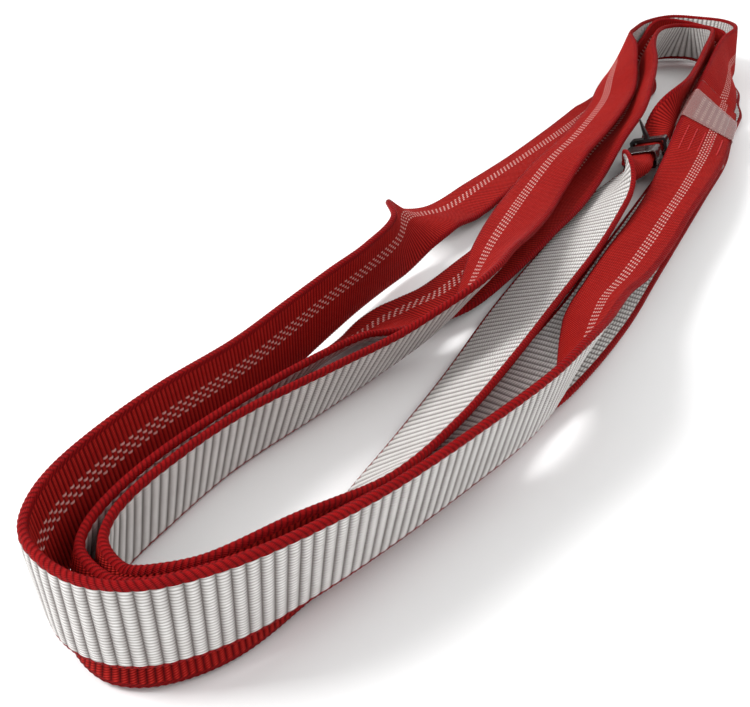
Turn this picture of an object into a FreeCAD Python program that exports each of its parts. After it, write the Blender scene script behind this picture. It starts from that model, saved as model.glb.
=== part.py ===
"""Endless flat web sling, laid down in three turns so that six strands lie side by side.

The strip is 25 mm wide and 2.7 mm thick.  Its two ends overlap and are sewn together.
Origin: middle of the outline in plan, floor level.  +Z up, strands along +Y.
"""
import FreeCAD, Part
import math
import os

doc = FreeCAD.newDocument("flat_web_sling")

# ---------------------------------------------------------------- driving sizes, mm and degrees
SIZES = {
    "web_width": 25,
    "web_thick": 2.7,
    "fold_reach": 3,          # half the strip width that a lengthwise fold takes up
    "lap_drop": 3,            # under layer of the end lap, measured between layer middles
    "section_step": 6,        # distance between the cross-sections of a flat run
    "fold_step": 4,           # the same where the strip is folded lengthwise
    "fold_strips": 20,        # flats across a folded cross-section
    "seal_share": 0.09,       # share of the last span that is heat-sealed end
    "floor_start": -28,       # stretch that lies quite flat on the floor
    "floor_length": 80,
    "floor_x": 34,
    "row_gap": 4,             # stitching: distance between rows
    "row_edge": 4.5,          # stitching: first row from the edge
    "row_count": 5,
    "stitch_count": 9,
    "stitch_first": 0.12,     # shares of the first span of the lap
    "stitch_pitch": 0.085,
    "stitch_share": 0.05,
    "stitch_width": 0.7,
    "stitch_thick": 0.3,
    "face_gap": 0.05,         # thread and label lie this far off the web face
    "label_inset": 4,
    "label_start": 1.15,      # label and its sleeve, in spans of the lap
    "label_end": 1.95,
    "film_start": 1.05,
    "film_end": 2,
    "film_over": 0.1,         # the hollow runs out past both ends of the sleeve
    "label_thick": 0.2,
    "film_gap": 0.3,          # label sleeve
    "film_wall": 0.3,
    "pinch_x": 19.5,          # folded web in the pinch: its fold line
    "pinch_z": 10.5,
    "pinch_turn": -18,        # tilt of the folded web about +Y
    "pinch_reach": 11.7,      # fold line to the two edges
    "pinch_height": 6.1,      # over both folded layers
    "wrap_gap": 0.5,          # dark sleeve round the folded web
    "wrap_wall": 0.5,
    "wrap_start": 59,
    "wrap_length": 10,
    "band_gap": 0.3,          # keeper band
    "band_wall": 1.3,
    "band_length": 4,
    "band_start": 75,
    "band_round": 1.2,
    "tail_root": 1.5,         # radii of the band's loose tail
    "tail_tip": 0.4,
    "tail_length": 11,
    "tail_x": 13,
    "tail_z": 12.5,
}
sheet = doc.addObject("Spreadsheet::Sheet", "sizes")
for row, (word, value) in enumerate(SIZES.items(), start=1):
    sheet.set("A%d" % row, word)
    sheet.set("B%d" % row, str(value))
    sheet.setAlias("B%d" % row, word)
doc.recompute()


def size(word):
    return float(getattr(sheet, word))


WIDTH = size("web_width")
HALF_THICK = size("web_thick") / 2

# ---------------------------------------------------------------- the route of the strip
# One station: x, y, z of the middle of the strip and its lean.  Lean is the direction across the
# strip in the upright plane square to the route: 0 stands on edge, 90 lies flat to the right.
# A folded station adds the lean of the second part and, if the fold is off the middle, the
# width of the first part; its x, y, z then belong to the fold line.
END_LAP = [(36.5, 64, 13, 450), (34.5, 92, 15, 470), (32.5, 122, 16.5, 484), (31, 138, 16.5, 489)]
RUNS = [
    ("web_far_outer_turn", [
        (28.5, 154, 16.5, 134), (25, 182, 17, 144), (21.5, 206, 17, 160), (21, 228, 17.5, 174),
        (10, 248, 15.5, 180), (-6, 257, 13.5, 180), (-21, 253, 13.5, 180),
        (-31, 235, 13.5, 178), (-33, 210, 14.5, 173), (-32.5, 192, 16.5, 162),
        (-28, 174, 17.5, 146),
    ]),
    ("web_left_upper_run", [
        (-23, 150, 16.5, 132), (-17, 122, 14.5, 120), (-14, 92, 14.5, 116),
        (-13, 62, 14, 114), (-13, 32, 14, 111), (-11, -3, 12.5, 106), (-8, -28, 13.5, 106),
        (-5, -53, 14.5, 117), (-1, -76, 16.5, 134), (2, -93, 18, 142), (1, -110, 17.5, 147),
        (-8, -133, 12.5, 150), (-15, -158, 12.5, 156), (-23.5, -188, 12.5, 163),
        (-26, -213, 13, 168),
    ]),
    ("web_near_inner_turn", [
        (-26, -232, 12.8, 169), (-21.5, -242.5, 12.6, 167), (-11, -247.8, 12.6, 163),
        (-4, -244.8, 12.6, 163), (4.5, -235.3, 12.6, 168), (10, -217, 13, 188),
    ]),
    ("web_middle_run", [
        (14, -188, 10.5, 222), (16, -158, 9.5, 234), (16, -123, 8.5, 240), (14, -78, 6.5, 248),
        (14, -33, 6.5, 250), (14, -3, 7.5, 243),
    ]),
    ("web_middle_pinch", [
        (14, 12, 8.5, 235), (15, 26, 9.5, 200, 240), (18.5, 38, 10.5, 138, 248),
        (21, 49, 11, 86, 252), (19.5, 58, 10.5, 72, 252), (19.5, 70, 10.5, 72, 252),
        (19.5, 82, 10.5, 72, 252), (19.5, 88, 10.5, 72, 252), (18.5, 100, 12, 115, 225),
        (17, 112, 14.5, 165, 200),
    ]),
    ("web_far_inner_turn", [
        (15, 127, 15.5, 189), (14, 152, 16.5, 190), (13, 177, 18.5, 186), (12, 204, 18.5, 178),
        (10.5, 221, 17.5, 166), (4, 232, 16.5, 156), (-5, 236, 16.5, 151),
        (-14, 232, 16.5, 152), (-19, 221, 17, 156), (-20.5, 209, 17.5, 160),
        (-20, 197, 17.5, 161),
    ]),
    ("web_left_inner_run", [
        (-16, 174, 17.5, 158), (-10, 152, 16.5, 154), (-5, 122, 15.5, 146),
        (-2.5, 92, 12.5, 134), (-4.5, 62, 9, 122), (-4.5, 32, 6.5, 110), (-4, 2, 5.5, 108),
        (-6, -23, 5.5, 104), (-9, -53, 4.5, 98), (-13, -80, 3.5, 97), (-18, -94, 3.5, 98),
        (-20, -100, 3.5, 97), (-21.5, -109, 5, 104), (-22.5, -120, 7, 117), (-24.5, -133, 9.5, 130),
        (-27, -163, 11.5, 148), (-29.5, -193, 12.5, 160), (-31, -218, 12.5, 167),
    ]),
    ("web_near_middle_turn", [
        (-29.5, -237, 12.5, 167), (-24, -247, 12.5, 166), (-11.5, -251.5, 12.5, 162),
        (-2.5, -248, 12.5, 162), (7, -237.5, 13, 168), (14, -222, 13, 182),
    ]),
    ("web_right_lower_run", [
        (20, -200, 12.5, 197), (22, -173, 10, 230), (23, -153, 6, 252), (26, -136, 4, 262),
        (31, -113, 3, 265), (34, -68, 1.6, 270),
    ]),
    ("web_right_floor_stretch", [(34, -28, 1.35, 270), (34, 12, 1.35, 270)]),
    ("web_right_far_run", [(34, 52, 1.35, 270), (34, 92, 1.5, 270)]),
    ("web_far_third_turn", [
        (31, 122, 2, 269), (22, 152, 2.5, 269, 275, 20), (17.5, 177, 2.5, 270, 340, 19),
        (17.5, 197, 2.5, 270, 355, 16), (17.5, 214, 2.5, 270, 358, 9),
        (17, 228, 2.5, 275, 357, 2), (8, 244, 1.5, 300, 345, 0), (-6, 252, 1.5, 360, 342, 0),
        (-18, 248, 1.5, 400, 348, 0), (-26, 235, 2.5, 440, 358, 1), (-28, 216, 3, 448, 358, 8),
        (-27, 197, 3, 450, 373, 15), (-28, 180, 2.5, 450, 420, 20), (-32, 162, 2, 450, 445, 22),
    ]),
    ("web_left_outer_run", [
        (-26, 137, 2, 450), (-27, 114, 2.5, 452), (-28, 92, 3.5, 456), (-32, 52, 4, 462),
        (-36.5, 12, 4, 460), (-40, -16, 3.5, 456), (-42, -36, 8, 446), (-41, -54, 13.5, 408),
        (-36.5, -74, 14, 366), (-36, -98, 14.5, 355), (-36.5, -120, 15, 357),
        (-37, -143, 15, 360), (-37, -168, 15.5, 364), (-37.5, -198, 18.5, 369),
    ]),
    ("web_near_outer_turn", [
        (-37.5, -223, 19.5, 370), (-35, -240, 20.5, 366), (-29, -251, 20.5, 364),
        (-19, -256, 20.5, 361), (-8, -256, 20.5, 361), (2, -251, 20.5, 362),
        (12, -239, 20.5, 364), (20, -223, 20.5, 368),
    ]),
    ("web_right_outer_run", [
        (27, -203, 19.5, 371), (36, -173, 19.5, 372), (43, -148, 20.5, 373),
        (45, -128, 20.5, 377), (43, -111, 18.5, 391), (40, -93, 16.5, 404),
        (38, -78, 14.5, 414), (38, -58, 12.5, 424), (38, -28, 11.5, 430), (38, -3, 11.5, 428),
        (38, 27, 12, 433),
    ]),
]


def under_layer(station):
    """The station lap_drop below the given one, one turn of lean earlier."""
    x, y, z, lean = station
    angle = math.radians(lean)
    drop = size("lap_drop")
    return (x + drop * math.cos(angle), y, z - drop * math.sin(angle), lean - 360)


def full(station):
    """Six numbers for every station: x, y, z, two leans, width of the first part."""
    values = list(station)
    if len(values) == 4:
        values.append(values[3])
    if len(values) == 5:
        values.append(WIDTH / 2)
    return values


NAMED_RUNS = [("web_lap_under", [under_layer(s) for s in END_LAP])] + RUNS
NAMED_RUNS.append(("web_lap_over", END_LAP))

ROUTE = []
START = {}
for run_name, stations in NAMED_RUNS:
    START[run_name] = len(ROUTE)
    ROUTE += [full(s) for s in stations]
LAST = len(ROUTE) - 1

CHORD = [0.0]
for here, there in zip(ROUTE, ROUTE[1:]):
    CHORD.append(CHORD[-1] + math.hypot(there[0] - here[0], there[1] - here[1]))


def slope(index):
    """Change of every station value per millimetre of plan distance."""
    before = max(index - 1, 0)
    after = min(index + 1, LAST)
    span = CHORD[after] - CHORD[before]
    return [(b - a) / span for a, b in zip(ROUTE[before], ROUTE[after])]


SLOPES = [slope(i) for i in range(LAST + 1)]


def blend(place, weights):
    """Cubic blend of the two stations round a place on the route."""
    index = min(int(place), LAST - 1)
    u = place - index
    span = CHORD[index + 1] - CHORD[index]
    start, start_slope, end, end_slope = weights(u, span)
    return [start * a + start_slope * m + end * b + end_slope * n
            for a, m, b, n in zip(ROUTE[index], SLOPES[index], ROUTE[index + 1], SLOPES[index + 1])]


def value_weights(u, span):
    return (2 * u**3 - 3 * u**2 + 1, (u**3 - 2 * u**2 + u) * span,
            3 * u**2 - 2 * u**3, (u**3 - u**2) * span)


def direction_weights(u, span):
    return ((6 * u**2 - 6 * u) / span, 3 * u**2 - 4 * u + 1,
            (6 * u - 6 * u**2) / span, 3 * u**2 - 2 * u)


class Section:
    """Upright cross-section of the strip at one place on the route."""

    def __init__(self, place):
        self.x, self.y, self.z, self.lean_first, self.lean_second, split = blend(place, value_weights)
        self.split = min(max(split, 0.0), WIDTH)
        along_x, along_y = blend(place, direction_weights)[:2]
        length = math.hypot(along_x, along_y)
        self.out_x = along_y / length
        self.out_y = -along_x / length
        self.flat = abs(self.lean_first - self.lean_second) < 0.01

    def lean(self, across):
        reach = size("fold_reach")
        share = min(max((across - self.split + reach) / (2 * reach), 0.0), 1.0)
        share = share * share * (3 - 2 * share)
        return math.radians(self.lean_first + (self.lean_second - self.lean_first) * share)

    def point(self, across, height):
        """Point on the section: across from the first edge, height towards the white face."""
        steps = 1 if self.flat else 24
        step = (across - self.split) / steps
        out, up = 0.0, self.z
        for k in range(steps):
            angle = self.lean(self.split + (k + 0.5) * step)
            out += step * math.sin(angle)
            up += step * math.cos(angle)
        angle = self.lean(across)
        out += height * math.cos(angle)
        up -= height * math.sin(angle)
        return FreeCAD.Vector(self.x + out * self.out_x, self.y + out * self.out_y, up)


def places_between(start, end, step):
    """Places on the route from start to end, passing through every station on the way."""
    stops = [start] + [i for i in range(int(start) + 1, math.ceil(end))] + [end]
    places = []
    for here, there in zip(stops, stops[1:]):
        index = min(int(here), LAST - 1)
        length = (CHORD[index + 1] - CHORD[index]) * (there - here)
        count = max(1, round(length / step))
        places += [here + (there - here) * k / count for k in range(count)]
    return places + [end]


def length_of_strip(start, end, first=0.0, last=WIDTH, low=-HALF_THICK, high=HALF_THICK):
    """Solid that follows the route between two places, two positions across and two heights."""
    stations = ROUTE[int(start):math.ceil(end) + 1]
    folded = any(s[3] != s[4] for s in stations)
    step = size("fold_step") if folded else size("section_step")
    strips = int(size("fold_strips")) if folded else 1
    wires = []
    for place in places_between(start, end, step):
        section = Section(place)
        across = [first + (last - first) * k / strips for k in range(strips + 1)]
        outline = [section.point(a, high) for a in across]
        outline += [section.point(a, low) for a in reversed(across)]
        wires.append(Part.makePolygon(outline + outline[:1]))
    return Part.makeLoft(wires, True, True)


def add(name, shape):
    """Sub-part whose shape follows the route."""
    item = doc.addObject("Part::Feature", name)
    item.Shape = shape
    item.Label = name
    item.Placement = FreeCAD.Placement()
    return item


def floor_stretch():
    """The run that lies flat on the floor, a plain box between its first and last station."""
    box = doc.addObject("Part::Box", FLOOR_STRETCH)
    box.setExpression("Length", "sizes.web_width")
    box.setExpression("Width", "sizes.floor_length")
    box.setExpression("Height", "sizes.web_thick")
    box.setExpression("Placement.Base.x", "sizes.floor_x - sizes.web_width / 2")
    box.setExpression("Placement.Base.y", "sizes.floor_start")
    box.Label = FLOOR_STRETCH
    return box


# ---------------------------------------------------------------- web, run by run
FLOOR_STRETCH = "web_right_floor_stretch"
SEAL = size("seal_share")
names = [name for name, stations in NAMED_RUNS]
borders = [START[name] for name in names[1:]] + [LAST - SEAL]
parts = []
for name, start, end in zip(names, [SEAL] + borders[:-1], borders):
    if name == FLOOR_STRETCH:
        parts.append(floor_stretch())
    else:
        parts.append(add(name, length_of_strip(start, end)))
parts.append(add("web_end_seal_upper", length_of_strip(LAST - SEAL, LAST)))
parts.append(add("web_end_seal_lower", length_of_strip(0, SEAL)))


# ---------------------------------------------------------------- end lap: stitches and label
def stitch_rows(first_place, low, high):
    """Rows of short thread bars on one face, within the first span of the lap."""
    bars = []
    for row in range(int(size("row_count"))):
        across = size("row_edge") + row * size("row_gap")
        for k in range(int(size("stitch_count"))):
            start = first_place + size("stitch_first") + k * size("stitch_pitch")
            bars.append(length_of_strip(start, start + size("stitch_share"), across,
                                        across + size("stitch_width"), low, high))
    return Part.makeCompound(bars)


OVER = START["web_lap_over"]
UNDER = START["web_lap_under"]
near_face = HALF_THICK + size("face_gap")
parts.append(add("lap_stitches_upper",
                 stitch_rows(OVER, -near_face - size("stitch_thick"), -near_face)))
parts.append(add("lap_stitches_lower",
                 stitch_rows(UNDER, near_face, near_face + size("stitch_thick"))))

inset = size("label_inset")
parts.append(add("label_panel", length_of_strip(
    OVER + size("label_start"), OVER + size("label_end"), inset, WIDTH - inset,
    -near_face - size("label_thick"), -near_face)))


def film(start, end, clearance):
    """Closed block round both layers of the lap."""
    return length_of_strip(start, end, -clearance, WIDTH + clearance,
                           -HALF_THICK - clearance,
                           HALF_THICK + size("lap_drop") + clearance)


film_start = OVER + size("film_start")
film_end = OVER + size("film_end")
film_outside = film(film_start, film_end, size("film_gap") + size("film_wall"))
film_inside = film(film_start - size("film_over"), film_end + size("film_over"), size("film_gap"))
parts.append(add("label_sleeve", film_outside.cut(film_inside)))


# ---------------------------------------------------------------- pinch: dark sleeve and keeper
def pinch_box(name, clearance, start, length, beyond=0):
    """Box round the folded web, a clearance outside it, from start along +Y."""
    box = doc.addObject("Part::Box", name)
    box.setExpression("Length", "sizes.pinch_reach + sizes.web_thick / 2 + 2 * (%s)" % clearance)
    box.setExpression("Height", "sizes.pinch_height + 2 * (%s)" % clearance)
    box.setExpression("Width", "%s + %g" % (length, 2 * beyond))
    clear = sum(size(word.strip()[6:]) for word in clearance.split("+"))
    turn = FreeCAD.Rotation(FreeCAD.Vector(0, 1, 0), size("pinch_turn"))
    corner = FreeCAD.Vector(-size("pinch_reach") - clear, size(start[6:]) - beyond,
                            -size("pinch_height") / 2 - clear)
    fold_line = FreeCAD.Vector(size("pinch_x"), 0, size("pinch_z"))
    box.Placement = FreeCAD.Placement(fold_line + turn.multVec(corner), turn)
    return box


def pinch_tube(name, gap, wall, start, length):
    outside = pinch_box(name + "_outside", "%s + %s" % (gap, wall), start, length)
    inside = pinch_box(name + "_inside", gap, start, length, beyond=1)
    tube = doc.addObject("Part::Cut", name)
    tube.Base = outside
    tube.Tool = inside
    return tube


wrap = pinch_tube("keeper_sleeve", "sizes.wrap_gap", "sizes.wrap_wall",
                  "sizes.wrap_start", "sizes.wrap_length")
wrap.Label = "keeper_sleeve"
parts.append(wrap)

ring = pinch_tube("band_ring", "sizes.band_gap", "sizes.band_wall",
                  "sizes.band_start", "sizes.band_length")
doc.recompute()

ROUND = size("band_round")
lengthwise = [number for number, edge in enumerate(ring.Shape.Edges, start=1)
              if abs(edge.tangentAt(edge.FirstParameter).y) > 0.99]
box_edges = {number for number, edge in enumerate(ring.Shape.Edges, start=1)
             if any(abs(edge.CenterOfMass.distanceToPoint(corner.CenterOfMass)) < 0.01
                    for corner in ring.Base.Shape.Edges)}
rounded = doc.addObject("Part::Fillet", "band_rounded")
rounded.Base = ring
rounded.Edges = [(number, ROUND, ROUND) for number in lengthwise if number in box_edges]

tail = doc.addObject("Part::Cone", "band_tail")
tail.setExpression("Radius1", "sizes.tail_root")
tail.setExpression("Radius2", "sizes.tail_tip")
tail.setExpression("Height", "sizes.tail_length")
tail_root = FreeCAD.Vector(size("tail_x"), size("band_start") + size("band_length") / 2,
                           size("tail_z"))
tail_way = FreeCAD.Vector(-4, -3, 9)
tail.Placement = FreeCAD.Placement(tail_root,
                                   FreeCAD.Rotation(FreeCAD.Vector(0, 0, 1), tail_way))

band = doc.addObject("Part::Fuse", "keeper_band")
band.Base = rounded
band.Tool = tail
band.Label = "keeper_band"
parts.append(band)

# ---------------------------------------------------------------- check and write
doc.recompute()
for item in doc.Objects:
    if "Invalid" in item.State or "Error" in item.State:
        raise RuntimeError("%s did not build: %s" % (item.Label, item.State))
os.makedirs("parts", exist_ok=True)
for item in parts:
    shape = item.Shape
    if shape.isNull() or not shape.isValid() or shape.Volume <= 0:
        raise RuntimeError("%s has no sound shape" % item.Label)
    shape.exportStep("parts/%s.step" % item.Label)
    box = shape.BoundBox
    print("%-22s %8.1f mm3  x %6.1f %6.1f  y %7.1f %7.1f  z %5.1f %5.1f" % (
        item.Label, shape.Volume, box.XMin, box.XMax, box.YMin, box.YMax, box.ZMin, box.ZMax))
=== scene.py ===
import math

import bpy
import numpy as np
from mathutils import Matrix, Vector


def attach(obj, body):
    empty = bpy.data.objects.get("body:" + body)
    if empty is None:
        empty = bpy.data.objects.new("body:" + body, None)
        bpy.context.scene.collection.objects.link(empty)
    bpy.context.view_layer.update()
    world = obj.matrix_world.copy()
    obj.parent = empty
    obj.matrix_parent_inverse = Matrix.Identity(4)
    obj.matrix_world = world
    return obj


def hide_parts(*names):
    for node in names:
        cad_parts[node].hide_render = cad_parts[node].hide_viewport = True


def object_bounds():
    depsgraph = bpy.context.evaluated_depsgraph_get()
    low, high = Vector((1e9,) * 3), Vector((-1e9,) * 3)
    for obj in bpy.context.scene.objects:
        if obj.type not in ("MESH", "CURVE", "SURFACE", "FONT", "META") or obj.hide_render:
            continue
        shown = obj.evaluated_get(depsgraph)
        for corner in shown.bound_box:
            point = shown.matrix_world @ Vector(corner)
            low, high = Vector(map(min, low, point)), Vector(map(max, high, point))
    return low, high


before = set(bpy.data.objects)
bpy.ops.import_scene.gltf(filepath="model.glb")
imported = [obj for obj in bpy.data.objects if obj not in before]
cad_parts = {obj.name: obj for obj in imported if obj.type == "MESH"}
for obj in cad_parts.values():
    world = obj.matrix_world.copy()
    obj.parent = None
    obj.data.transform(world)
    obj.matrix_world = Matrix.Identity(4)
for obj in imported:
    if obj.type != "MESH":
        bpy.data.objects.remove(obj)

cad_low, cad_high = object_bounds()
MM = 0.001

# ---------------------------------------------------------------- sizes, millimetres and degrees
WIDTH = 25.0
HALF_THICK = 1.35
FOLD_REACH = 3.0
LAP_DROP = 3.0
SEAL_SHARE = 0.09         # share of the last span that is heat-sealed end

RIB_PITCH = 3.0           # cross ribs of the white face; the red face has two for each
RINGS_PER_RIB = 8
CORD_RADIUS = 1.15        # rounded edge cord
CORD_INSET = 0.1
CORD_STEPS = 6
FACE_STRIPS = 14
FACE_EDGE = 1.6           # where the flat face starts, from the edge of the strip
WHITE_LEVEL = 0.95
WHITE_RIB = 0.42
RED_LEVEL = 1.1
RED_RIB = 0.24

YARN_PITCH = 0.6
THREAD_PITCH = 0.85

STRIPE_MIDDLE = 15.75     # across, from the first edge
STRIPE_ROW = 1.1
STRIPE_ROWS = 4

CROWN_WIDTH = 4.5         # ribs reach full height this far in from the nearest edge
CROWN_LEAST = 0.55        # share of full height that they keep at the edge
RIB_UNEVEN = (0.86, 1.14)   # spread of the heights of single ribs

SEAL_EDGE = 1.2           # half thickness where the seal starts, and its inset at the sides
SEAL_TAPER = 0.5          # how much thinner each half is at the tip
SEAL_LUMP = 0.16

STITCH_ROWS = 5
STITCHES_IN_ROW = 9
STITCH_FIRST_ROW = 4.85   # across, from the first edge
STITCH_ROW_GAP = 4
STITCH_START = 0.12       # share of the lap's first span
STITCH_PITCH = 0.085      # share of that span
STITCH_LENGTH = 1.9
STITCH_HALF_WIDTH = 0.34
STITCH_HALF_HEIGHT = 0.28
STITCH_DIP = 0.12         # how far both ends sink into the face
STITCH_SWELL = 0.3

LABEL_SPAN = (1.15, 1.95)         # stations past the start of the upper lap
LABEL_MARGIN = 4.2
LABEL_UNDERSIDE, LABEL_TOP = -1.42, -1.62
LABEL_RIPPLE = 0.03

FILM_CORNER = 0.6
LABEL_FILM_SPAN = (1.05, 2)       # stations past the start of the upper lap
LABEL_FILM_GAPS = (0.58, 0.38)    # outer and inner skin, clear of the lap
LABEL_FILM_WRINKLE = 0.02

PINCH_TILT = 18                   # degrees, about the strand
PINCH_REACH, PINCH_HEIGHT = 11.7, 6.1
PINCH_FOLD = (19.5, 10.5)         # x and z of the fold line
PINCH_FILM_SPAN = (59.3, 68.7)    # along y
PINCH_FILM_GAPS = (0.9, 0.5)      # outer and inner skin
PINCH_FILM_WRINKLE = 0.10

# ---------------------------------------------------------------- route of the strip
# x, y, z, lean; a folded station adds the second lean and the width of the first part.
END_LAP = [(36.5, 64, 13, 450), (34.5, 92, 15, 470), (32.5, 122, 16.5, 484), (31, 138, 16.5, 489)]
RUNS = [
    ("web_far_outer_turn", [
        (28.5, 154, 16.5, 134), (25, 182, 17, 144), (21.5, 206, 17, 160), (21, 228, 17.5, 174),
        (10, 248, 15.5, 180), (-6, 257, 13.5, 180), (-21, 253, 13.5, 180),
        (-31, 235, 13.5, 178), (-33, 210, 14.5, 173), (-32.5, 192, 16.5, 162),
        (-28, 174, 17.5, 146),
    ]),
    ("web_left_upper_run", [
        (-23, 150, 16.5, 132), (-17, 122, 14.5, 120), (-14, 92, 14.5, 116),
        (-13, 62, 14, 114), (-13, 32, 14, 111), (-11, -3, 12.5, 106), (-8, -28, 13.5, 106),
        (-5, -53, 14.5, 117), (-1, -76, 16.5, 134), (2, -93, 18, 142), (1, -110, 17.5, 147),
        (-8, -133, 12.5, 150), (-15, -158, 12.5, 156), (-23.5, -188, 12.5, 163),
        (-26, -213, 13, 168),
    ]),
    ("web_near_inner_turn", [
        (-26, -232, 12.8, 169), (-21.5, -242.5, 12.6, 167), (-11, -247.8, 12.6, 163),
        (-4, -244.8, 12.6, 163), (4.5, -235.3, 12.6, 168), (10, -217, 13, 188),
    ]),
    ("web_middle_run", [
        (14, -188, 10.5, 222), (16, -158, 9.5, 234), (16, -123, 8.5, 240), (14, -78, 6.5, 248),
        (14, -33, 6.5, 250), (14, -3, 7.5, 243),
    ]),
    ("web_middle_pinch", [
        (14, 12, 8.5, 235), (15, 26, 9.5, 200, 240), (18.5, 38, 10.5, 138, 248),
        (21, 49, 11, 86, 252), (19.5, 58, 10.5, 72, 252), (19.5, 70, 10.5, 72, 252),
        (19.5, 82, 10.5, 72, 252), (19.5, 88, 10.5, 72, 252), (18.5, 100, 12, 115, 225),
        (17, 112, 14.5, 165, 200),
    ]),
    ("web_far_inner_turn", [
        (15, 127, 15.5, 189), (14, 152, 16.5, 190), (13, 177, 18.5, 186), (12, 204, 18.5, 178),
        (10.5, 221, 17.5, 166), (4, 232, 16.5, 156), (-5, 236, 16.5, 151),
        (-14, 232, 16.5, 152), (-19, 221, 17, 156), (-20.5, 209, 17.5, 160),
        (-20, 197, 17.5, 161),
    ]),
    ("web_left_inner_run", [
        (-16, 174, 17.5, 158), (-10, 152, 16.5, 154), (-5, 122, 15.5, 146),
        (-2.5, 92, 12.5, 134), (-4.5, 62, 9, 122), (-4.5, 32, 6.5, 110), (-4, 2, 5.5, 108),
        (-6, -23, 5.5, 104), (-9, -53, 4.5, 98), (-13, -80, 3.5, 97), (-18, -94, 3.5, 98),
        (-20, -100, 3.5, 97), (-21.5, -109, 5, 104), (-22.5, -120, 7, 117), (-24.5, -133, 9.5, 130),
        (-27, -163, 11.5, 148), (-29.5, -193, 12.5, 160), (-31, -218, 12.5, 167),
    ]),
    ("web_near_middle_turn", [
        (-29.5, -237, 12.5, 167), (-24, -247, 12.5, 166), (-11.5, -251.5, 12.5, 162),
        (-2.5, -248, 12.5, 162), (7, -237.5, 13, 168), (14, -222, 13, 182),
    ]),
    ("web_right_lower_run", [
        (20, -200, 12.5, 197), (22, -173, 10, 230), (23, -153, 6, 252), (26, -136, 4, 262),
        (31, -113, 3, 265), (34, -68, 1.6, 270),
    ]),
    ("web_right_floor_stretch", [(34, -28, 1.35, 270), (34, 12, 1.35, 270)]),
    ("web_right_far_run", [(34, 52, 1.35, 270), (34, 92, 1.5, 270)]),
    ("web_far_third_turn", [
        (31, 122, 2, 269), (22, 152, 2.5, 269, 275, 20), (17.5, 177, 2.5, 270, 340, 19),
        (17.5, 197, 2.5, 270, 355, 16), (17.5, 214, 2.5, 270, 358, 9),
        (17, 228, 2.5, 275, 357, 2), (8, 244, 1.5, 300, 345, 0), (-6, 252, 1.5, 360, 342, 0),
        (-18, 248, 1.5, 400, 348, 0), (-26, 235, 2.5, 440, 358, 1), (-28, 216, 3, 448, 358, 8),
        (-27, 197, 3, 450, 373, 15), (-28, 180, 2.5, 450, 420, 20), (-32, 162, 2, 450, 445, 22),
    ]),
    ("web_left_outer_run", [
        (-26, 137, 2, 450), (-27, 114, 2.5, 452), (-28, 92, 3.5, 456), (-32, 52, 4, 462),
        (-36.5, 12, 4, 460), (-40, -16, 3.5, 456), (-42, -36, 8, 446), (-41, -54, 13.5, 408),
        (-36.5, -74, 14, 366), (-36, -98, 14.5, 355), (-36.5, -120, 15, 357),
        (-37, -143, 15, 360), (-37, -168, 15.5, 364), (-37.5, -198, 18.5, 369),
    ]),
    ("web_near_outer_turn", [
        (-37.5, -223, 19.5, 370), (-35, -240, 20.5, 366), (-29, -251, 20.5, 364),
        (-19, -256, 20.5, 361), (-8, -256, 20.5, 361), (2, -251, 20.5, 362),
        (12, -239, 20.5, 364), (20, -223, 20.5, 368),
    ]),
    ("web_right_outer_run", [
        (27, -203, 19.5, 371), (36, -173, 19.5, 372), (43, -148, 20.5, 373),
        (45, -128, 20.5, 377), (43, -111, 18.5, 391), (40, -93, 16.5, 404),
        (38, -78, 14.5, 414), (38, -58, 12.5, 424), (38, -28, 11.5, 430), (38, -3, 11.5, 428),
        (38, 27, 12, 433),
    ]),
]


def under_layer(station):
    """The station LAP_DROP below the given one, one turn of lean earlier."""
    x, y, z, lean = station
    angle = math.radians(lean)
    return (x + LAP_DROP * math.cos(angle), y, z - LAP_DROP * math.sin(angle), lean - 360)


def full(station):
    """The six values of a station, with the second lean and first width filled in."""
    values = list(station)
    if len(values) == 4:
        values.append(values[3])
    if len(values) == 5:
        values.append(WIDTH / 2)
    return values


NAMED_RUNS = [("web_lap_under", [under_layer(s) for s in END_LAP])] + RUNS
NAMED_RUNS.append(("web_lap_over", END_LAP))
START = {}
stations = []
for run_name, run in NAMED_RUNS:
    START[run_name] = len(stations)
    stations += [full(s) for s in run]
ROUTE = np.array(stations, dtype=float)
LAST = len(ROUTE) - 1
CHORD = np.concatenate([[0.0], np.cumsum(np.hypot(*np.diff(ROUTE[:, :2], axis=0).T))])
before = np.maximum(np.arange(LAST + 1) - 1, 0)
after = np.minimum(np.arange(LAST + 1) + 1, LAST)
SLOPES = (ROUTE[after] - ROUTE[before]) / (CHORD[after] - CHORD[before])[:, None]


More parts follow.
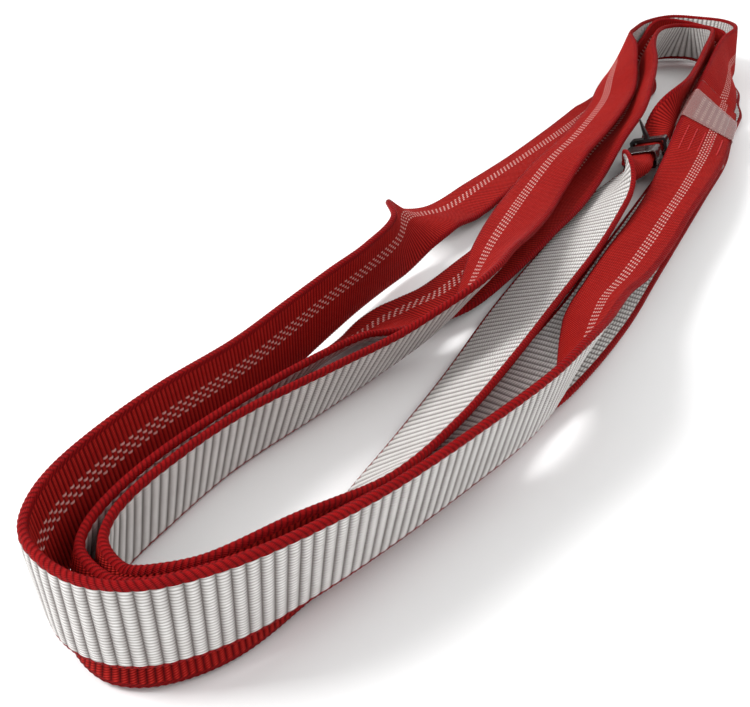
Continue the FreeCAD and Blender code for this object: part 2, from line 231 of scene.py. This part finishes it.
class Sections:
    """Upright cross-sections of the strip at many places on the route."""

    def __init__(self, places):
        places = np.atleast_1d(np.asarray(places, dtype=float))
        index = np.clip(places.astype(int), 0, LAST - 1)
        u = places - index
        span = CHORD[index + 1] - CHORD[index]

        def blend(start, start_slope, end, end_slope):
            return (start[:, None] * ROUTE[index] + start_slope[:, None] * SLOPES[index]
                    + end[:, None] * ROUTE[index + 1] + end_slope[:, None] * SLOPES[index + 1])

        values = blend(2 * u**3 - 3 * u**2 + 1, (u**3 - 2 * u**2 + u) * span,
                       3 * u**2 - 2 * u**3, (u**3 - u**2) * span)
        along = blend((6 * u**2 - 6 * u) / span, 3 * u**2 - 4 * u + 1,
                      (6 * u - 6 * u**2) / span, 3 * u**2 - 2 * u)
        self.middle = values[:, :3]
        self.first, self.second = values[:, 3], values[:, 4]
        self.split = np.clip(values[:, 5], 0, WIDTH)
        length = np.hypot(along[:, 0], along[:, 1])
        self.out = np.stack([along[:, 1] / length, -along[:, 0] / length], axis=1)

    def lean(self, across):
        """Lean in radians, turning smoothly from the first to the second at the fold."""
        share = np.clip((across - self.split[:, None] + FOLD_REACH) / (2 * FOLD_REACH), 0, 1)
        share = share * share * (3 - 2 * share)
        return np.radians(self.first[:, None] + (self.second - self.first)[:, None] * share)

    def points(self, across, height):
        """Millimetre points; across and height are (places, points) or broadcast to it."""
        across = np.broadcast_to(across, (len(self.split), np.shape(across)[-1]))
        steps = 24
        step = (across - self.split[:, None]) / steps
        out = np.zeros(across.shape)
        up = np.repeat(self.middle[:, 2:3], across.shape[1], axis=1)
        for k in range(steps):
            angle = self.lean(self.split[:, None] + (k + 0.5) * step)
            out += step * np.sin(angle)
            up += step * np.cos(angle)
        angle = self.lean(across)
        out += height * np.cos(angle)
        up -= height * np.sin(angle)
        x = self.middle[:, 0:1] + out * self.out[:, 0:1]
        y = self.middle[:, 1:2] + out * self.out[:, 1:2]
        return np.stack([x, y, up], axis=2)


fine_places = np.linspace(0, LAST, LAST * 40 + 1)
fine_points = Sections(fine_places).points(np.array([[WIDTH / 2]]), 0.0)[:, 0]
fine_length = np.concatenate(
    [[0.0], np.cumsum(np.linalg.norm(np.diff(fine_points, axis=0), axis=1))])


def length_at(place):
    """Distance along the strip, in millimetres, at a place on the route."""
    return float(np.interp(place, fine_places, fine_length))


def place_at(length):
    """Place on the route at a distance along the strip."""
    return np.interp(length, fine_length, fine_places)


# ---------------------------------------------------------------- node helpers
class Nodes:
    """Short calls for building one material."""

    def __init__(self, name):
        self.material = bpy.data.materials.new(name)
        self.material.use_nodes = True
        self.tree = self.material.node_tree
        self.shader = self.tree.nodes["Principled BSDF"]

    def add(self, kind, **settings):
        node = self.tree.nodes.new(kind)
        for key, value in settings.items():
            setattr(node, key, value)
        return node

    def link(self, source, target):
        self.tree.links.new(source, target)

    def math(self, operation, *values):
        node = self.add("ShaderNodeMath", operation=operation)
        for socket, value in zip(node.inputs, values):
            if isinstance(value, (int, float)):
                socket.default_value = value
            else:
                self.link(value, socket)
        return node.outputs[0]

    def mix(self, factor, low, high, blend="MIX"):
        node = self.add("ShaderNodeMix", data_type="RGBA", blend_type=blend)
        for socket, value in zip((node.inputs[0], node.inputs[6], node.inputs[7]),
                                 (factor, low, high)):
            if isinstance(value, tuple):
                socket.default_value = (*value, 1.0)
            elif isinstance(value, (int, float)):
                socket.default_value = value
            else:
                self.link(value, socket)
        return node.outputs[2]

    def strip_place(self):
        """Across and along the strip in millimetres."""
        parts = self.add("ShaderNodeSeparateXYZ")
        self.link(self.add("ShaderNodeUVMap", uv_map="strip").outputs[0], parts.inputs[0])
        return parts.outputs[0], parts.outputs[1]

    def wave(self, value, period, power):
        """0 in the groove and 1 on the crest of a row of ribs."""
        turned = self.math("MULTIPLY", value, math.pi / period)
        return self.math("POWER", self.math("ABSOLUTE", self.math("SINE", turned)), power)

    def noise(self, scale, detail=3.0, low=0.0, high=1.0, stretch=(1.0, 1.0, 1.0)):
        place = self.add("ShaderNodeMapping")
        place.inputs["Scale"].default_value = stretch
        self.link(self.add("ShaderNodeTexCoord").outputs["Object"], place.inputs[0])
        node = self.add("ShaderNodeTexNoise")
        node.inputs["Scale"].default_value = scale
        node.inputs["Detail"].default_value = detail
        self.link(place.outputs[0], node.inputs["Vector"])
        span = self.add("ShaderNodeMapRange")
        span.inputs["To Min"].default_value = low
        span.inputs["To Max"].default_value = high
        self.link(node.outputs[0], span.inputs[0])
        return span.outputs[0]

    def finish(self, colour, roughness, height=None, strength=0.5, distance=0.2 * MM, **fixed):
        for value, name in ((colour, "Base Color"), (roughness, "Roughness")):
            if isinstance(value, tuple):
                self.shader.inputs[name].default_value = (*value, 1.0)
            elif isinstance(value, (int, float)):
                self.shader.inputs[name].default_value = value
            else:
                self.link(value, self.shader.inputs[name])
        if height is not None:
            bump = self.add("ShaderNodeBump")
            bump.inputs["Strength"].default_value = strength
            bump.inputs["Distance"].default_value = distance
            self.link(height, bump.inputs["Height"])
            self.link(bump.outputs[0], self.shader.inputs["Normal"])
        for name, value in fixed.items():
            self.shader.inputs[name.replace("_", " ")].default_value = value
        return self.material


RED = (0.27, 0.0030, 0.0045)
RED_BRIGHT = (0.42, 0.010, 0.007)
# painted shade: the colour of the red face deep in its rib and yarn grooves
RED_GROOVE_PAINTED_SHADE = (0.045, 0.0008, 0.0012)
# painted highlight: the bright colour put on the crests of the red ribs
RED_CREST_PAINTED_HIGHLIGHT = (0.62, 0.050, 0.035)
WHITE = (0.74, 0.72, 0.70)
WHITE_DULL = (0.47, 0.44, 0.42)
# painted shade: the colour of the white face deep in its rib grooves
WHITE_GROOVE_PAINTED_SHADE = (0.075, 0.055, 0.048)
STRIPE_PALE = (0.66, 0.36, 0.33)
# painted shade: the colour between the threads of the white face
WHITE_THREAD_PAINTED_SHADE = (0.30, 0.27, 0.25)
# painted highlight: the bright colour put on the crests of the white ribs
WHITE_PAINTED_HIGHLIGHT = (0.92, 0.91, 0.90)


def red_face_material():
    n = Nodes("red_face_weave")
    across, along = n.strip_place()
    rib = n.wave(along, RIB_PITCH / 2, 0.9)
    slant = n.math("ADD", across, n.math("MULTIPLY", along, 0.5))
    yarn = n.wave(slant, YARN_PITCH, 0.8)
    body = n.mix(n.noise(90, 4, 0, 1), RED, RED_BRIGHT)
    # painted shade: darker toward the bottoms of the rib grooves and of the yarn grooves
    body = n.mix(n.math("MULTIPLY", n.math("SUBTRACT", 1.0, rib), 0.95), body, RED_GROOVE_PAINTED_SHADE)
    body = n.mix(n.math("MULTIPLY", n.math("SUBTRACT", 1.0, yarn), 0.45), body, RED_GROOVE_PAINTED_SHADE)
    # painted highlight on the rib crests where the yarns cross, sparkling with noise
    painted_highlight = n.math("MULTIPLY", n.math("POWER", n.math("MULTIPLY", rib, yarn), 3.0),
                   n.noise(900, 2, 0.0, 0.9))
    body = n.mix(painted_highlight, body, RED_CREST_PAINTED_HIGHLIGHT)
    # the stripe: rows of pale dashes, every other row half a period further along
    first = STRIPE_MIDDLE - STRIPE_ROW * STRIPE_ROWS / 2
    row = n.math("DIVIDE", n.math("SUBTRACT", across, first), STRIPE_ROW)
    number = n.math("FLOOR", row)
    inside = n.math("MULTIPLY", n.math("GREATER_THAN", row, 0.0),
                    n.math("LESS_THAN", row, float(STRIPE_ROWS)))
    odd = n.math("MODULO", number, 2.0)
    turn = n.math("ADD", n.math("DIVIDE", along, RIB_PITCH), n.math("MULTIPLY", odd, 0.5))
    place = n.math("FRACT", turn)
    dash = n.math("MULTIPLY", n.math("LESS_THAN", place, 0.52), inside)
    side = n.math("ABSOLUTE", n.math("SUBTRACT", n.math("FRACT", row), 0.5))
    dash = n.math("MULTIPLY", dash, n.math("LESS_THAN", side, 0.27))
    # painted shade: the pale dashes darken toward the bottoms of the rib grooves
    pale = n.mix(n.math("MULTIPLY", n.math("SUBTRACT", 1.0, rib), 0.6), STRIPE_PALE,
                 (0.30, 0.07, 0.06))
    colour = n.mix(n.math("MULTIPLY", dash, 0.94), body, pale)
    height = n.math("ADD", n.math("MULTIPLY", yarn, 0.6),
                    n.math("ADD", n.math("MULTIPLY", rib, 0.6), n.math("MULTIPLY", dash, 0.5)))
    return n.finish(colour, n.noise(400, 2, 0.6, 0.8), height, 0.8, 0.3 * MM,
                    Specular_IOR_Level=0.05)


def white_face_material():
    n = Nodes("white_face_weave")
    across, along = n.strip_place()
    rib = n.wave(along, RIB_PITCH, 0.8)
    odd = n.math("MODULO", n.math("FLOOR", n.math("DIVIDE", along, RIB_PITCH)), 2.0)
    shifted = n.math("ADD", across, n.math("MULTIPLY", odd, THREAD_PITCH / 2))
    uneven = n.math("ADD", shifted, n.noise(260, 2, -0.35, 0.35))
    thread = n.wave(uneven, THREAD_PITCH, 0.9)
    body = n.mix(n.noise(120, 4, 0, 1), WHITE, WHITE_DULL)
    # painted shade: darker between the threads of the white face
    body = n.mix(n.math("MULTIPLY", n.math("SUBTRACT", 1.0, thread), 0.6), body, WHITE_THREAD_PAINTED_SHADE)
    # painted shade: darker toward the bottoms of the rib grooves
    body = n.mix(n.math("MULTIPLY", n.math("SUBTRACT", 1.0, rib), 0.95), body, WHITE_GROOVE_PAINTED_SHADE)
    # painted highlight on the rib crests over the threads, patchy with noise
    painted_highlight = n.math("POWER", n.math("MULTIPLY", rib, thread), 2.0)
    body = n.mix(n.math("MULTIPLY", painted_highlight, n.noise(700, 2, 0.2, 1.0)), body, WHITE_PAINTED_HIGHLIGHT)
    height = n.math("ADD", thread, n.math("MULTIPLY", n.noise(900, 2, 0, 1), 0.4))
    return n.finish(body, n.noise(500, 2, 0.35, 0.6), height, 0.8, 0.26 * MM,
                    Sheen_Weight=0.05, Sheen_Roughness=0.35, Specular_IOR_Level=0.35)


def cord_material():
    n = Nodes("edge_cord_weave")
    across, along = n.strip_place()
    slant = n.math("ADD", along, n.math("MULTIPLY", across, 0.45))
    strand = n.wave(slant, RIB_PITCH / 2, 0.6)
    yarn = n.wave(n.math("SUBTRACT", across, n.math("MULTIPLY", along, 0.6)), 0.5, 0.8)
    body = n.mix(n.noise(150, 3, 0, 1), (0.21, 0.002, 0.004), (0.34, 0.006, 0.006))
    # painted shade: darker toward the grooves between the twisted strands of the edge cord
    body = n.mix(n.math("MULTIPLY", n.math("SUBTRACT", 1.0, strand), 0.85), body,
                 (0.035, 0.001, 0.0015))
    height = n.math("ADD", strand, n.math("MULTIPLY", yarn, 0.7))
    return n.finish(body, n.noise(400, 2, 0.5, 0.7), height, 0.7, 0.3 * MM,
                    Specular_IOR_Level=0.06)


def seal_material():
    n = Nodes("melted_end")
    body = n.mix(n.noise(600, 4, 0, 1), (0.16, 0.004, 0.006), (0.05, 0.002, 0.002))
    return n.finish(body, n.noise(500, 3, 0.25, 0.5), n.noise(900, 4), 0.6, 0.3 * MM)


def thread_material():
    n = Nodes("sewing_thread")
    body = n.mix(n.noise(1500, 3, 0, 1), (0.30, 0.008, 0.012), (0.55, 0.03, 0.03))
    return n.finish(body, 0.55, n.noise(2500, 2), 0.6, 0.1 * MM, Specular_IOR_Level=0.2)


def label_material():
    n = Nodes("printed_label")
    across, along = n.strip_place()
    line = n.math("GREATER_THAN", n.math("FRACT", n.math("DIVIDE", across, 3.1)), 0.55)
    mark = n.math("GREATER_THAN", n.math("FRACT", n.math("DIVIDE", along, 2.3)), 0.42)
    body = n.mix(n.math("MULTIPLY", line, mark), (0.16, 0.055, 0.05), (0.72, 0.66, 0.58))
    body = n.mix(n.noise(300, 4, 0, 0.5), body, (0.20, 0.03, 0.03))
    return n.finish(body, n.noise(500, 2, 0.4, 0.6), n.noise(900, 2), 0.2, 0.05 * MM)


def film_material(name, low, high, alpha):
    n = Nodes(name)
    body = n.mix(n.noise(200, 4, 0, 1), low, high)
    return n.finish(body, n.noise(250, 3, 0.10, 0.30), n.noise(160, 3), 0.25, 0.4 * MM,
                    Alpha=alpha, Coat_Weight=0.3, Coat_Roughness=0.1)


def band_material():
    n = Nodes("glossy_black_rubber")
    body = n.mix(n.noise(300, 3, 0, 1), (0.006, 0.006, 0.007), (0.018, 0.017, 0.018))
    return n.finish(body, n.noise(400, 3, 0.16, 0.32), n.noise(1200, 3), 0.15, 0.1 * MM,
                    Coat_Weight=0.4, Coat_Roughness=0.12)


def floor_material():
    n = Nodes("pale_floor")
    body = n.mix(n.noise(4, 2, 0, 1), (0.90, 0.90, 0.90), (0.92, 0.92, 0.92))
    return n.finish(body, 0.9, Specular_IOR_Level=0.1)


RED_FACE = red_face_material()
WHITE_FACE = white_face_material()
CORD = cord_material()
SEALED = seal_material()
THREAD = thread_material()
LABEL = label_material()


# ---------------------------------------------------------------- mesh and object helpers
def add_object(name, data):
    """New object in the scene for a mesh, a light or a camera."""
    item = bpy.data.objects.new(name, data)
    bpy.context.scene.collection.objects.link(item)
    return item


def smooth_piece(name, vertices, faces, material):
    """Smooth-shaded object of one material."""
    mesh = bpy.data.meshes.new(name)
    mesh.from_pydata(vertices, [], faces)
    mesh.materials.append(material)
    for polygon in mesh.polygons:
        polygon.use_smooth = True
    return add_object(name, mesh)


def declare(item, node, body):
    """The CAD node a piece stands for and the body it rides on."""
    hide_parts(node)
    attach(item, body)


def swept_mesh(name, points, along, outline_u, materials, slot_of_strip, closed_ends=True):
    """Tube through rings of points; ring and strip positions go into the UV map "strip".

    points is (rings, corners, 3) in millimetres, along is each ring's distance, outline_u the
    across value at each corner, and slot_of_strip the material number of each strip.
    """
    rings, corners = points.shape[:2]
    ring, corner = np.meshgrid(np.arange(rings - 1), np.arange(corners), indexing="ij")
    beside = (corner + 1) % corners
    quads = np.stack([ring * corners + corner, ring * corners + beside,
                      (ring + 1) * corners + beside, (ring + 1) * corners + corner], axis=2)
    faces = quads.reshape(-1, 4).tolist()
    if closed_ends:
        faces.append(list(range(corners))[::-1])
        faces.append([(rings - 1) * corners + k for k in range(corners)])
    mesh = bpy.data.meshes.new(name)
    mesh.from_pydata((points.reshape(-1, 3) * MM).tolist(), [], faces)
    for material in materials:
        mesh.materials.append(material)
    slots = np.tile(slot_of_strip, rings - 1)
    if closed_ends:
        slots = np.append(slots, [slot_of_strip[-1]] * 2)
    mesh.polygons.foreach_set("material_index", slots.astype(np.int32))
    mesh.polygons.foreach_set("use_smooth", np.ones(len(faces), dtype=bool))

    start_u = np.asarray(outline_u, dtype=float)
    end_u = np.append(start_u[1:], start_u[-1] + (start_u[-1] - start_u[-2]))
    uv = np.empty(quads.shape + (2,))
    uv[..., 0, 0] = uv[..., 3, 0] = start_u[corner]
    uv[..., 1, 0] = uv[..., 2, 0] = end_u[corner]
    uv[..., 0, 1] = uv[..., 1, 1] = along[ring]
    uv[..., 2, 1] = uv[..., 3, 1] = along[ring + 1]
    values = uv.reshape(-1)
    if closed_ends:
        values = np.append(values, np.zeros(corners * 4))
    layer = mesh.uv_layers.new(name="strip")
    layer.data.foreach_set("uv", values)
    if closed_ends:
        rim = {tuple(sorted((k, (k + 1) % corners))) for k in range(corners)}
        far = (rings - 1) * corners
        rim |= {tuple(sorted((far + k, far + (k + 1) % corners))) for k in range(corners)}
        for edge in mesh.edges:
            if tuple(sorted(edge.vertices)) in rim:
                edge.use_edge_sharp = True
    mesh.validate()
    mesh.update()
    return add_object(name, mesh)


# ---------------------------------------------------------------- the web
rib_random = np.random.default_rng(7).uniform(*RIB_UNEVEN, 2000)   # more than the ribs there are


def web_outline(along):
    """Across, height, across value for the UV map and material number round the strip."""
    white = np.abs(np.sin(math.pi * along / RIB_PITCH)) ** 0.7
    white *= rib_random[(along / RIB_PITCH).astype(int)]
    red = np.abs(np.sin(2 * math.pi * along / RIB_PITCH)) ** 0.8
    twist = 0.5 + 0.5 * np.cos(4 * math.pi * along / RIB_PITCH)
    face = np.linspace(FACE_EDGE, WIDTH - FACE_EDGE, FACE_STRIPS + 1)
    crown = np.clip((WIDTH / 2 - np.abs(face - WIDTH / 2)) / CROWN_WIDTH, CROWN_LEAST, 1)
    ones = np.ones((len(along), 1))
    across = [face * ones]
    height = [WHITE_LEVEL + WHITE_RIB * white[:, None] * crown]
    label = [face]
    angle = np.linspace(math.pi / 2, -math.pi / 2, CORD_STEPS + 1)[1:-1]
    radius = CORD_RADIUS * (0.92 + 0.12 * twist)[:, None]
    across.append(WIDTH - CORD_RADIUS - CORD_INSET + radius * np.cos(angle))
    height.append(radius * np.sin(angle))
    label.append(WIDTH - FACE_EDGE + 1 + np.arange(len(angle)) * 0.8)
    across.append(face[::-1] * ones)
    height.append(-RED_LEVEL - RED_RIB * red[:, None] * crown[::-1])
    label.append(face[::-1])
    across.append(CORD_RADIUS + CORD_INSET - radius * np.cos(angle))
    height.append(-radius * np.sin(angle))
    label.append(FACE_EDGE - 1 - np.arange(len(angle)) * 0.8)
    slots = [0] * FACE_STRIPS + [2] * CORD_STEPS + [1] * FACE_STRIPS + [2] * CORD_STEPS
    return np.hstack(across), np.hstack(height), np.concatenate(label), np.array(slots)


def web_piece(name, node, start, end):
    """One run of the strip between two distances that are whole ribs."""
    rings = int(round((end - start) / RIB_PITCH * RINGS_PER_RIB)) + 1
    along = np.linspace(start, end, rings)
    across, height, label, slots = web_outline(along)
    points = Sections(place_at(along)).points(across, height)
    item = swept_mesh(name, points, along, label, [WHITE_FACE, RED_FACE, CORD], slots)
    declare(item, node, "sling")


def whole_rib(length):
    return round(length / RIB_PITCH) * RIB_PITCH


names = [name for name, run in NAMED_RUNS]
seal_lower_end = length_at(SEAL_SHARE)
seal_upper_start = length_at(LAST - SEAL_SHARE)
borders = [seal_lower_end]
borders += [whole_rib(length_at(START[name])) for name in names[1:]]
borders.append(seal_upper_start)
for node, start, end in zip(names, borders, borders[1:]):
    web_piece(node.replace("web_", "strip_"), node, start, end)


# ---------------------------------------------------------------- sealed ends
def sealed_end(name, node, start, end):
    """Melted end of the strip: harder, darker and uneven."""
    along = np.linspace(start, end, 7)
    face = np.linspace(SEAL_EDGE, WIDTH - SEAL_EDGE, 19)
    lumps = np.random.default_rng(11).uniform(-SEAL_LUMP, SEAL_LUMP, (len(along), len(face)))
    level = SEAL_EDGE - SEAL_TAPER * np.linspace(0, 1, len(along))[:, None] ** 2
    if node.endswith("lower"):
        level = level[::-1]
    upper = level + lumps
    side = np.array([math.pi / 4, 0, -math.pi / 4])
    across = np.hstack([face * np.ones((len(along), 1)),
                        WIDTH - SEAL_EDGE + level * np.cos(side),
                        face[::-1] * np.ones((len(along), 1)),
                        SEAL_EDGE - level * np.cos(side)])
    height = np.hstack([upper, level * np.sin(side), -upper[:, ::-1], -level * np.sin(side)])
    points = Sections(place_at(along)).points(across, height)
    item = swept_mesh(name, points, along, across[0], [SEALED],
                      np.zeros(across.shape[1], dtype=int))
    declare(item, node, "sling")


sealed_end("sealed_end_lower", "web_end_seal_lower", 0.0, seal_lower_end)
sealed_end("sealed_end_upper", "web_end_seal_upper", seal_upper_start, length_at(LAST))


# ---------------------------------------------------------------- stitches
def stitches(name, node, first_place, side):
    """Rows of separate stitches, each a short rounded thread that dips at both ends."""
    rings, corners = 7, 6
    turn = np.linspace(0, 2 * math.pi, corners, endpoint=False)
    vertices, faces = [], []
    for row in range(STITCH_ROWS):
        middle = STITCH_FIRST_ROW + STITCH_ROW_GAP * row
        for k in range(STITCHES_IN_ROW):
            start = length_at(first_place + STITCH_START + STITCH_PITCH * k)
            along = np.linspace(start, start + STITCH_LENGTH, rings)
            swell = np.sin(np.linspace(0.12, math.pi - 0.12, rings))[:, None]
            across = (middle + STITCH_HALF_WIDTH * swell ** 0.4 * np.cos(turn)
                      * np.ones((rings, 1)))
            height = (side * (HALF_THICK - STITCH_DIP + STITCH_SWELL * swell)
                      + STITCH_HALF_HEIGHT * swell ** 0.4 * np.sin(turn))
            points = Sections(place_at(along)).points(across, height)
            base = len(vertices)
            vertices += (points.reshape(-1, 3) * MM).tolist()
            for r in range(rings - 1):
                for c in range(corners):
                    d = (c + 1) % corners
                    faces.append([base + r * corners + c, base + r * corners + d,
                                  base + (r + 1) * corners + d, base + (r + 1) * corners + c])
            faces.append([base + c for c in range(corners)][::-1])
            faces.append([base + (rings - 1) * corners + c for c in range(corners)])
    declare(smooth_piece(name, vertices, faces, THREAD), node, "sling")


OVER = START["web_lap_over"]
UNDER = START["web_lap_under"]
stitches("stitches_upper", "lap_stitches_upper", OVER, -1)
stitches("stitches_lower", "lap_stitches_lower", UNDER, 1)


# ---------------------------------------------------------------- label and its film sleeve
def lap_lengths(span, count):
    """Distances along the strip between two places on the upper layer of the lap."""
    return np.linspace(length_at(OVER + span[0]), length_at(OVER + span[1]), count)


def label_piece():
    """Thin printed panel on the red face, with a slight ripple."""
    along = lap_lengths(LABEL_SPAN, 28)
    face = np.linspace(LABEL_MARGIN, WIDTH - LABEL_MARGIN, 15)
    ones = np.ones((len(along), 1))
    ripple = LABEL_RIPPLE * np.sin(along * 1.3)[:, None] * np.sin(face * 0.9)
    across = np.hstack([face * ones, face[::-1] * ones])
    height = np.hstack([LABEL_UNDERSIDE + ripple, LABEL_TOP + ripple[:, ::-1]])
    points = Sections(place_at(along)).points(across, height)
    item = swept_mesh("label_printed", points, along, across[0], [LABEL],
                      np.zeros(across.shape[1], dtype=int))
    declare(item, "label_panel", "sling")


def film_ring(clearance, low, high, wide):
    """Rounded outline, in across and height, a clearance outside a flat block."""
    radius = FILM_CORNER + clearance
    left, right = FILM_CORNER, wide - FILM_CORNER
    bottom, top = low + FILM_CORNER, high - FILM_CORNER
    corners = [(right, top, 0), (right, bottom, -90), (left, bottom, -180), (left, top, -270)]
    outline = []
    for k, (a, h, start) in enumerate(corners):
        for step in range(5):
            angle = math.radians(90 + start - 90 * step / 4)
            outline.append((a + radius * math.cos(angle), h + radius * math.sin(angle)))
        next_a, next_h = corners[(k + 1) % 4][:2]
        count = 11 if abs(next_a - a) > 2 else 2
        end = outline[-1]
        angle = math.radians(start)
        goal = (next_a + radius * math.cos(angle), next_h + radius * math.sin(angle))
        for step in range(1, count):
            share = step / count
            outline.append((end[0] + (goal[0] - end[0]) * share,
                            end[1] + (goal[1] - end[1]) * share))
    return np.array(outline)


def sleeve_points(along, outline, wrinkle):
    """Rings of points for one skin of a film sleeve, with a soft wrinkle."""
    ring = np.arange(len(along))[:, None]
    corner = np.arange(len(outline))[None, :]
    wave = wrinkle * np.sin(ring * 0.7 + corner * 0.55) * np.cos(ring * 0.23 - corner * 0.31)
    middle = outline.mean(axis=0)
    away = outline - middle
    away /= np.linalg.norm(away, axis=1)[:, None]
    return outline[None] + away[None] * wave[..., None]


def film_shell(name, node, skins, material):
    """Closed thin shell from an outer and an inner skin with the same corner count."""
    outer, inner = skins
    rings, corners = outer.shape[:2]
    vertices = (np.concatenate([outer.reshape(-1, 3), inner.reshape(-1, 3)]) * MM).tolist()
    second = rings * corners
    faces = []
    for r in range(rings - 1):
        for c in range(corners):
            d = (c + 1) % corners
            a, b = r * corners + c, r * corners + d
            faces.append([a, b, b + corners, a + corners])
            faces.append([second + a, second + a + corners, second + b + corners, second + b])
    for c in range(corners):
        d = (c + 1) % corners
        faces.append([c, second + c, second + d, d])
        end = (rings - 1) * corners
        faces.append([end + c, end + d, second + end + d, second + end + c])
    declare(smooth_piece(name, vertices, faces, material), node, "sling")


def label_sleeve():
    """Pale film round both layers of the lap, over the label."""
    along = lap_lengths(LABEL_FILM_SPAN, 34)
    sections = Sections(place_at(along))
    skins = []
    for clearance in LABEL_FILM_GAPS:
        outline = film_ring(clearance, -HALF_THICK, HALF_THICK + LAP_DROP, WIDTH)
        rings = sleeve_points(along, outline, LABEL_FILM_WRINKLE)
        skins.append(sections.points(rings[..., 0], rings[..., 1]))
    film_shell("label_film", "label_sleeve", skins,
               film_material("clear_label_film", (0.30, 0.13, 0.12), (0.42, 0.24, 0.22), 0.38))


def pinch_wrap():
    """Dark film round the folded strip, just before the keeper band; its near-black colour is
    painted shade for the inside of the pinch.
    """
    turn = math.radians(PINCH_TILT)
    along = np.linspace(*PINCH_FILM_SPAN, 16)
    skins = []
    for clearance in PINCH_FILM_GAPS:
        outline = film_ring(clearance, -PINCH_HEIGHT / 2, PINCH_HEIGHT / 2,
                            PINCH_REACH + HALF_THICK)
        rings = sleeve_points(along, outline, PINCH_FILM_WRINKLE)
        a = rings[..., 0] - PINCH_REACH
        h = rings[..., 1]
        x = PINCH_FOLD[0] + a * math.cos(turn) - h * math.sin(turn)
        z = PINCH_FOLD[1] + a * math.sin(turn) + h * math.cos(turn)
        y = np.broadcast_to(along[:, None], x.shape)
        skins.append(np.stack([x, y, z], axis=2))
    # the film's near-black colour is painted shade for the inside of the pinch
    film_shell("pinch_film", "keeper_sleeve", skins,
               film_material("dark_film_pinch_painted_shade", (0.012, 0.007, 0.007), (0.05, 0.02, 0.02), 0.86))


label_piece()
label_sleeve()
pinch_wrap()

# ---------------------------------------------------------------- keeper band, as CAD has it
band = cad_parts["keeper_band"]
band.data.materials.clear()
band.data.materials.append(band_material())

# ---------------------------------------------------------------- floor, light and camera
# metres and watts from here on
FLOOR_HALF = 6.0
FLOOR_DROP = 0.0002       # keeps the floor just clear of the strands that rest on it
WORLD_STRENGTH = 0.8
CAMERA_PLACE = (0.0985, -0.3405, 0.1647)
CAMERA_AZIMUTH, CAMERA_ELEVATION = math.radians(28.3), math.radians(33.2)
CAMERA_LENS, CAMERA_SENSOR = 45.35, 36.0   # millimetres

floor_mesh = bpy.data.meshes.new("floor")
floor_corners = [(-1, -1), (1, -1), (1, 1), (-1, 1)]
floor_mesh.from_pydata([(x * FLOOR_HALF, y * FLOOR_HALF, 0) for x, y in floor_corners],
                       [], [(0, 1, 2, 3)])
floor_mesh.materials.append(floor_material())
floor = add_object("floor", floor_mesh)
floor.location.z = cad_low[2] - FLOOR_DROP

world = bpy.data.worlds.new("studio")
world.use_nodes = True
background = world.node_tree.nodes["Background"]
background.inputs["Color"].default_value = (1.0, 1.0, 1.0, 1.0)
background.inputs["Strength"].default_value = WORLD_STRENGTH
bpy.context.scene.world = world
bpy.context.scene.view_settings.view_transform = "Standard"


def area_light(name, place, target, width, power):
    light = bpy.data.lights.new(name, "AREA")
    light.size = width
    light.energy = power
    item = add_object(name, light)
    item.location = place
    item.rotation_euler = (Vector(target) - Vector(place)).to_track_quat("-Z", "Y").to_euler()


area_light("key", (-0.8, -0.6, 0.9), (0, -0.05, 0), 0.5, 16)
area_light("fill", (0.7, 0.4, 1.0), (0, 0, 0), 0.8, 4)

camera_data = bpy.data.cameras.new("camera")
camera_data.sensor_fit = "HORIZONTAL"
camera_data.sensor_width = CAMERA_SENSOR
camera_data.lens = CAMERA_LENS
camera_data.clip_start = 0.005
camera = add_object("camera", camera_data)
camera.location = CAMERA_PLACE
camera.rotation_euler = (math.pi / 2 - CAMERA_ELEVATION, 0, CAMERA_AZIMUTH)
bpy.context.scene.camera = camera
